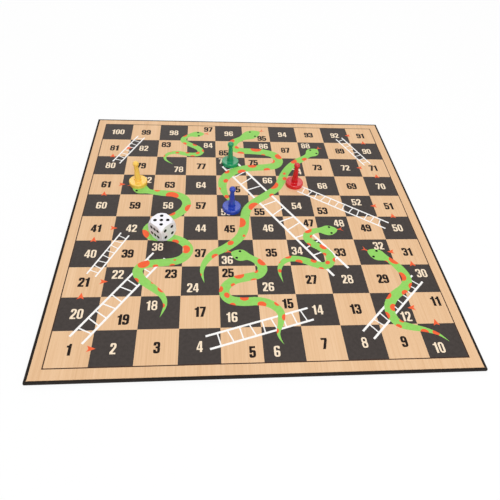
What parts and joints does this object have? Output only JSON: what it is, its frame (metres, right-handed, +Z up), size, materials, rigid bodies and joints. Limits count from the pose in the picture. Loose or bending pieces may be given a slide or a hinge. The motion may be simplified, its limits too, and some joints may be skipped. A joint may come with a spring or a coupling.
{
  "type": "snakes and ladders board",
  "caption": "Flat square snakes and ladders board with black wrapped edges, a printed wood-grain face, and pawns and a die that stand on it and lift off.",
  "frame": {"origin": "middle of the underside of the board", "axes": "+X along the first row from square 1 to square 10, +Y up the rows, +Z up out of the playing face"},
  "size_m": [0.298, 0.298, 0.0265],
  "materials": {
    "greyboard": "raw solid board",
    "black_paper": "matte",
    "wood_print": "satin printed",
    "brown_ink": "satin printed",
    "charcoal_ink": "satin printed",
    "orange_ink": "satin printed",
    "white_ink": "satin printed",
    "green_ink": "satin printed",
    "black_ink": "satin printed",
    "yellow_plastic": "gloss",
    "green_plastic": "gloss",
    "blue_plastic": "gloss",
    "red_plastic": "gloss",
    "white_plastic": "gloss",
    "black_paint": "satin"
  },
  "bodies": {
    "board": {"greyboard_core": "greyboard", "cover_paper": "black_paper", "face_sheet": "wood_print", "frame_line": "brown_ink", "dark_squares": "charcoal_ink", "turn_arrows": "orange_ink", "ladder_1_to_38": "white_ink", "ladder_4_to_14": "white_ink", "ladder_8_to_30": "white_ink", "ladder_21_to_42": "white_ink", "ladder_28_to_76": "white_ink", "ladder_50_to_67": "white_ink", "ladder_71_to_92": "white_ink", "ladder_80_to_99": "white_ink", "snake_32_to_10": "green_ink", "snake_36_to_6": "green_ink", "snake_48_to_26": "green_ink", "snake_62_to_18": "green_ink", "snake_88_to_24": "green_ink", "snake_95_to_56": "green_ink", "snake_97_to_78": "green_ink", "snake_spots": "orange_ink", "snake_eyes": "black_ink", "snake_tongues": "orange_ink"},
    "yellow_pawn": {"pawn_yellow": "yellow_plastic"},
    "green_pawn": {"pawn_green": "green_plastic"},
    "blue_pawn": {"pawn_blue": "blue_plastic"},
    "red_pawn": {"pawn_red": "red_plastic"},
    "die": {"die_body": "white_plastic", "die_pips": "black_paint"}
  },
  "joints": [
    {"name": "yellow_pawn_lift", "type": "slide", "parent": "board", "child": "yellow_pawn", "axis": [0, 0, 1], "range_m": [0, 0.06]},
    {"name": "green_pawn_lift", "type": "slide", "parent": "board", "child": "green_pawn", "axis": [0, 0, 1], "range_m": [0, 0.06]},
    {"name": "blue_pawn_lift", "type": "slide", "parent": "board", "child": "blue_pawn", "axis": [0, 0, 1], "range_m": [0, 0.06]},
    {"name": "red_pawn_lift", "type": "slide", "parent": "board", "child": "red_pawn", "axis": [0, 0, 1], "range_m": [0, 0.06]},
    {"name": "die_lift", "type": "slide", "parent": "board", "child": "die", "axis": [0, 0, 1], "range_m": [0, 0.06]}
  ]
}
